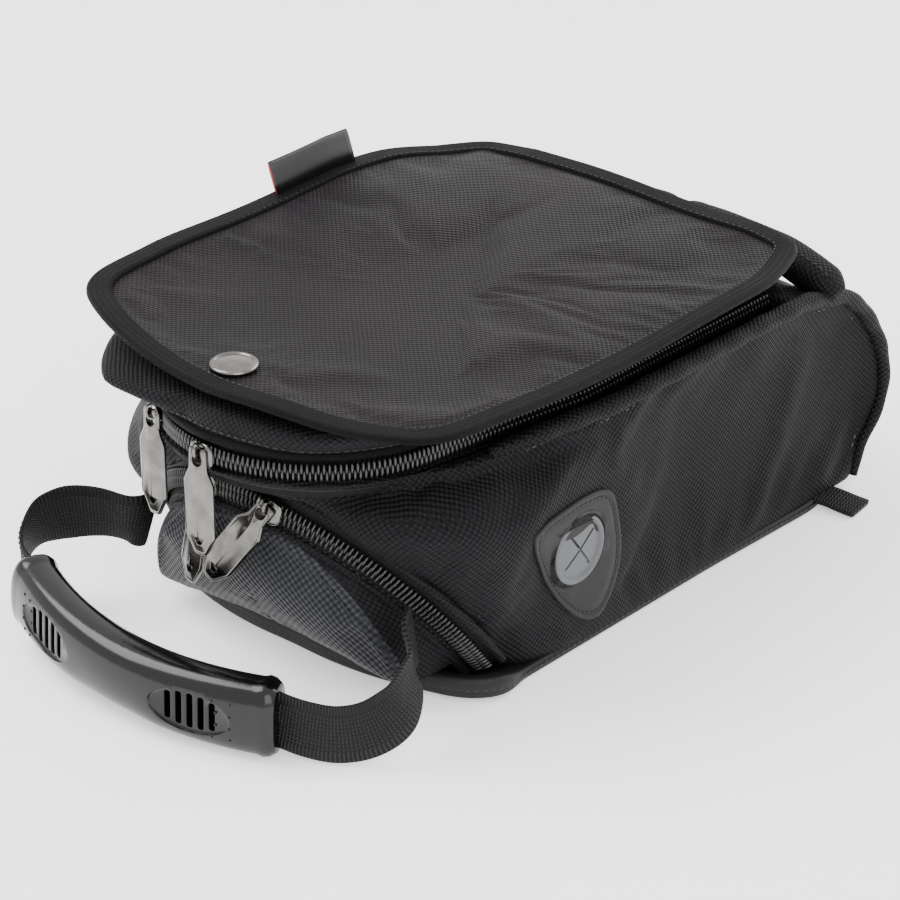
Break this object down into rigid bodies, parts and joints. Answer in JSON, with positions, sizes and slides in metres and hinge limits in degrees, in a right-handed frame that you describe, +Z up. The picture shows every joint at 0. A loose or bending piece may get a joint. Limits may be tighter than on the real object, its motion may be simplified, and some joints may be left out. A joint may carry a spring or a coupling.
{
  "type": "motorcycle tank bag",
  "caption": "Compact padded nylon tank bag with zipped lid, snap-down top flap, arched front pocket, rubber cable port and moulded grab handle.",
  "frame": {"origin": "on the floor plane under the middle of the base's flat underside, on the plane of symmetry", "axes": "+Z up, -Y the handle and front pocket end, +Y the round rear, +X the side with the cable port"},
  "size_m": [0.2103, 0.3645, 0.1425],
  "materials": {
    "shell_nylon": "charcoal ballistic nylon, coarse basket weave",
    "flap_nylon": "coated nylon with a soft aubergine sheen",
    "binding_webbing": "black herringbone binding and webbing",
    "zip_tape": "black woven zip tape",
    "zip_coil": "black nylon coil",
    "slider_metal": "polished gunmetal nickel",
    "grip_plastic": "glossy black moulding",
    "port_rubber": "matt moulded rubber",
    "grommet_rubber": "softer dark grey rubber",
    "base_neoprene": "smooth black neoprene",
    "stiffener_board": "plain stiffener board",
    "label_satin": "black satin woven label, plain"
  },
  "bodies": {
    "bag": {"base_pad": "base_neoprene", "base_board": "stiffener_board", "base_band": "base_neoprene", "base_tab_left": "binding_webbing", "base_tab_right": "binding_webbing", "side_panel_left": "shell_nylon", "side_panel_right": "shell_nylon", "rear_panel": "shell_nylon", "front_bulkhead": "shell_nylon", "mouth_panel": "shell_nylon", "mouth_rim": "binding_webbing", "side_piping_left": "binding_webbing", "side_piping_right": "binding_webbing", "rear_band": "shell_nylon", "zip_tape_lower": "zip_tape", "zip_coil_lower": "zip_coil", "zip_stop_left": "slider_metal", "zip_stop_right": "slider_metal", "pocket_panel": "shell_nylon", "pocket_gusset": "shell_nylon", "pocket_tape_outer": "zip_tape", "pocket_tape_inner": "zip_tape", "pocket_coil_outer": "zip_coil", "pocket_coil_inner": "zip_coil", "port_patch": "port_rubber", "port_grommet": "grommet_rubber", "port_ring": "grommet_rubber", "handle_tab_left": "binding_webbing", "handle_tab_right": "binding_webbing"},
    "lid": {"lid_gusset": "shell_nylon", "lid_panel": "shell_nylon", "zip_tape_upper": "zip_tape", "zip_coil_upper": "zip_coil", "snap_stud": "slider_metal"},
    "flap": {"flap_panel": "flap_nylon", "flap_binding": "binding_webbing", "snap_cap": "slider_metal", "snap_socket": "slider_metal", "loop_label": "label_satin"},
    "handle": {"grip_front": "grip_plastic", "grip_rear": "grip_plastic", "grip_strap": "binding_webbing", "handle_webbing_left": "binding_webbing", "handle_webbing_right": "binding_webbing"},
    "main_slider_left": {"main_slider_left": "slider_metal"},
    "main_slider_right": {"main_slider_right": "slider_metal"},
    "main_pull_left": {"main_pull_left": "slider_metal"},
    "main_pull_right": {"main_pull_right": "slider_metal"},
    "pocket_slider_left": {"pocket_slider_left": "slider_metal"},
    "pocket_slider_right": {"pocket_slider_right": "slider_metal"},
    "pocket_pull_left": {"pocket_pull_left": "slider_metal"},
    "pocket_pull_right": {"pocket_pull_right": "slider_metal"}
  },
  "joints": [
    {"name": "lid_hinge", "type": "hinge", "parent": "bag", "child": "lid", "pos_m": [0, 0.09, 0.12], "axis": [-1, 0, 0], "range_deg": [0, 80]},
    {"name": "flap_hinge", "type": "hinge", "parent": "lid", "child": "flap", "pos_m": [0, 0.088, 0.129], "axis": [-1, 0, 0], "range_deg": [0, 110]},
    {"name": "main_slider_left_travel", "type": "hinge", "parent": "bag", "child": "main_slider_left", "pos_m": [0, -0.113, 0.105], "axis": [0, 0, 1], "range_deg": [-4, 15]},
    {"name": "main_slider_right_travel", "type": "hinge", "parent": "bag", "child": "main_slider_right", "pos_m": [0, -0.113, 0.105], "axis": [0, 0, 1], "range_deg": [0, 31]},
    {"name": "main_pull_left_swing", "type": "hinge", "parent": "main_slider_left", "child": "main_pull_left", "pos_m": [-0.03836, -0.16987, 0.10735], "axis": [-0.829, 0.5592, 0], "range_deg": [0, 100]},
    {"name": "main_pull_right_swing", "type": "hinge", "parent": "main_slider_right", "child": "main_pull_right", "pos_m": [-0.0012, -0.18159, 0.10735], "axis": [-0.9998, 0.0175, 0], "range_deg": [0, 100]},
    {"name": "pocket_slider_left_travel", "type": "hinge", "parent": "bag", "child": "pocket_slider_left", "pos_m": [0, -0.11341, 0.01819], "axis": [0, 0.7997, 0.6004], "range_deg": [-16, 0]},
    {"name": "pocket_slider_right_travel", "type": "hinge", "parent": "bag", "child": "pocket_slider_right", "pos_m": [0, -0.11341, 0.01819], "axis": [0, 0.7997, 0.6004], "range_deg": [0, 20]},
    {"name": "pocket_pull_left_swing", "type": "hinge", "parent": "pocket_slider_left", "child": "pocket_pull_left", "pos_m": [-0.01854, -0.1629, 0.08145], "axis": [-0.9744, 0.1351, -0.1799], "range_deg": [0, 40]},
    {"name": "pocket_pull_right_swing", "type": "hinge", "parent": "pocket_slider_right", "child": "pocket_pull_right", "pos_m": [0.01643, -0.16317, 0.08182], "axis": [-0.9799, -0.1197, 0.1594], "range_deg": [0, 14]},
    {"name": "handle_swing", "type": "hinge", "parent": "bag", "child": "handle", "pos_m": [0, -0.15, 0.038], "axis": [-1, 0, 0], "range_deg": [0, 30]}
  ]
}
